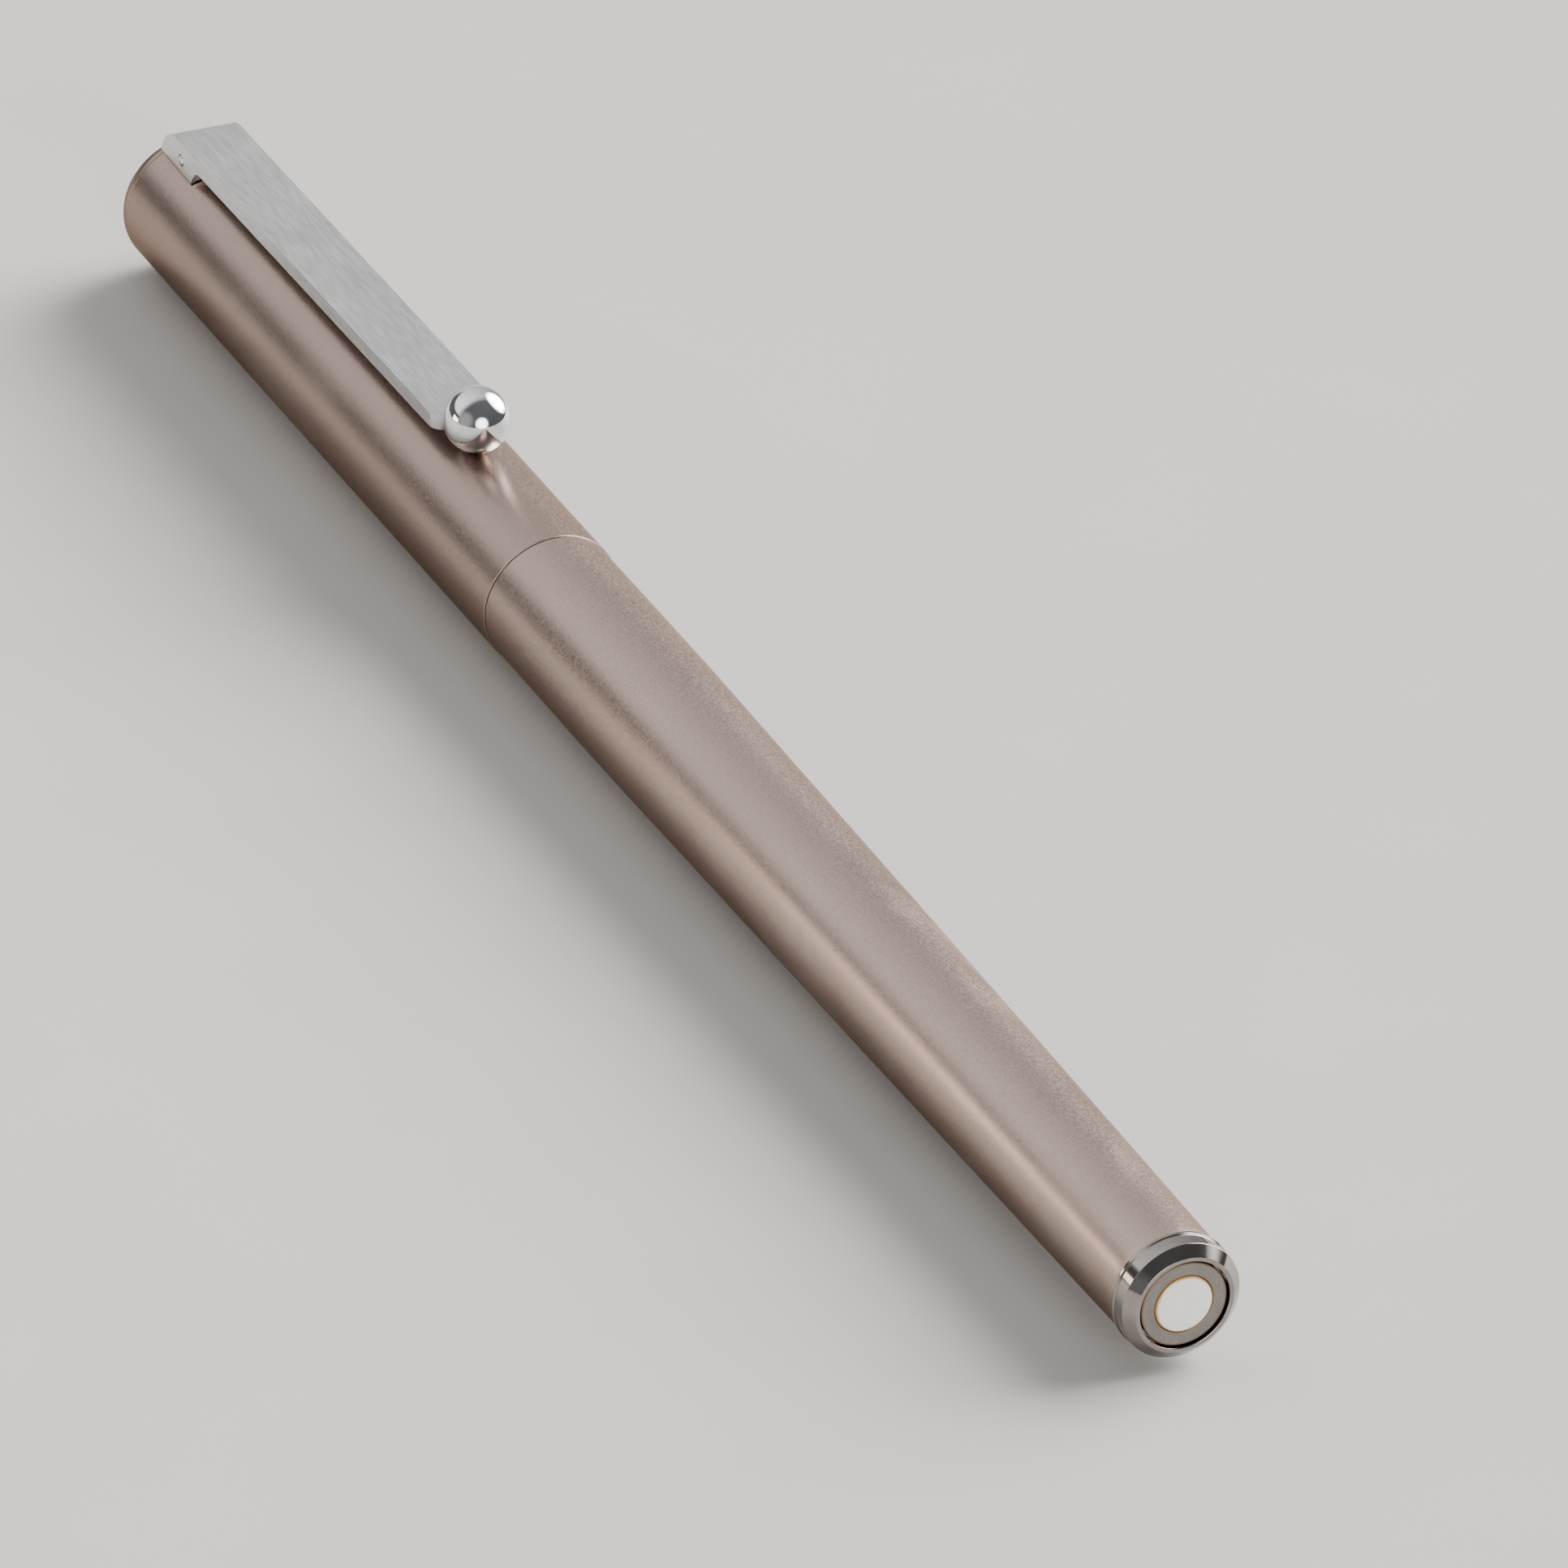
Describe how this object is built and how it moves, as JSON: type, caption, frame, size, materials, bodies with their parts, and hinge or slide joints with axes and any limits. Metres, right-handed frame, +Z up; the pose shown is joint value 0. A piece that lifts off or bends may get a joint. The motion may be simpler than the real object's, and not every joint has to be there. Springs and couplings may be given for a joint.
{
  "type": "rollerball pen",
  "caption": "Slim capped rollerball pen: satin metal cap and tapered barrel, sprung clip with a polished round tip, screw-in grip section, refill and stepped end collar.",
  "frame": {"origin": "on the surface that the pen lies on, under the middle of the capped pen's length, below its axis", "axes": "+X along the pen's axis from the cap crown to the barrel end, +Z up through the clip, +Y across"},
  "size_m": [0.138, 0.0088, 0.0129],
  "materials": {
    "satin_body": "micro-blasted, satin taupe coating",
    "clip_steel": "satin",
    "polished_steel": "polished",
    "gunmetal": "polished gunmetal",
    "blasted_disc": "matte blasted",
    "white_inlay": "gloss white",
    "black_plastic": "satin moulded black",
    "raw_brass": "machined",
    "spring_steel": "drawn wire",
    "seal_rubber": "matte",
    "refill_metal": "satin",
    "refill_plastic": "moulded natural white",
    "ink_fibre": "ink-soaked fibre"
  },
  "bodies": {
    "barrel": {"barrel_tube": "satin_body", "barrel_thread_bush": "raw_brass", "end_collar": "gunmetal", "end_disc": "blasted_disc", "end_inlay": "white_inlay", "spring_seat": "black_plastic", "refill_spring": "spring_steel"},
    "refill": {"refill_tube": "refill_metal", "refill_tail_plug": "refill_plastic", "refill_reservoir": "ink_fibre", "refill_feed": "ink_fibre", "refill_nose": "black_plastic", "refill_tip": "polished_steel"},
    "writing_ball": {"writing_ball": "polished_steel"},
    "section": {"section_grip": "black_plastic", "section_thread_sleeve": "raw_brass", "section_shoulder_ring": "polished_steel", "section_nose": "polished_steel", "section_o_ring": "seal_rubber"},
    "snap_ring": {"snap_ring": "polished_steel"},
    "cap": {"cap_tube": "satin_body", "cap_crown": "satin_body", "crown_stud": "raw_brass", "clip_bracket": "clip_steel", "clip_pin": "polished_steel", "clip_spring": "spring_steel", "inner_cap": "black_plastic", "cap_seal": "seal_rubber", "cap_snap_bush": "black_plastic"},
    "clip": {"clip_blade": "clip_steel", "clip_tip": "polished_steel"}
  },
  "joints": [
    {"name": "refill_advance", "type": "slide", "parent": "barrel", "child": "refill", "axis": [-1, 0, 0], "range_m": [0, 0.0045], "deforming": ["refill_spring"]},
    {"name": "section_turn", "type": "hinge", "parent": "refill", "child": "section", "pos_m": [-0.016, 0, 0.00437], "axis": [-1, 0, 0], "range_deg": [0, 2165]},
    {"name": "cap_turn", "type": "hinge", "parent": "section", "child": "snap_ring", "pos_m": [-0.0219, 0, 0.00437], "axis": [1, 0, 0], "continuous": true},
    {"name": "cap_pull", "type": "slide", "parent": "snap_ring", "child": "cap", "axis": [-1, 0, 0], "range_m": [0, 0.062]},
    {"name": "clip_lift", "type": "hinge", "parent": "cap", "child": "clip", "pos_m": [-0.0648, 0, 0.00917], "axis": [0, -1, 0], "range_deg": [0, 4], "stiffness_Nm_per_rad": 0.8, "springref_deg": -1.15, "deforming": ["clip_spring"]},
    {"name": "ball_roll", "type": "hinge", "parent": "refill", "child": "writing_ball", "pos_m": [-0.05555, 0, 0.00437], "axis": [0, 1, 0], "continuous": true}
  ],
  "couplings": [
    {"joint": "section_turn", "follows": "refill_advance", "rad_per_m": 8377.6}
  ]
}
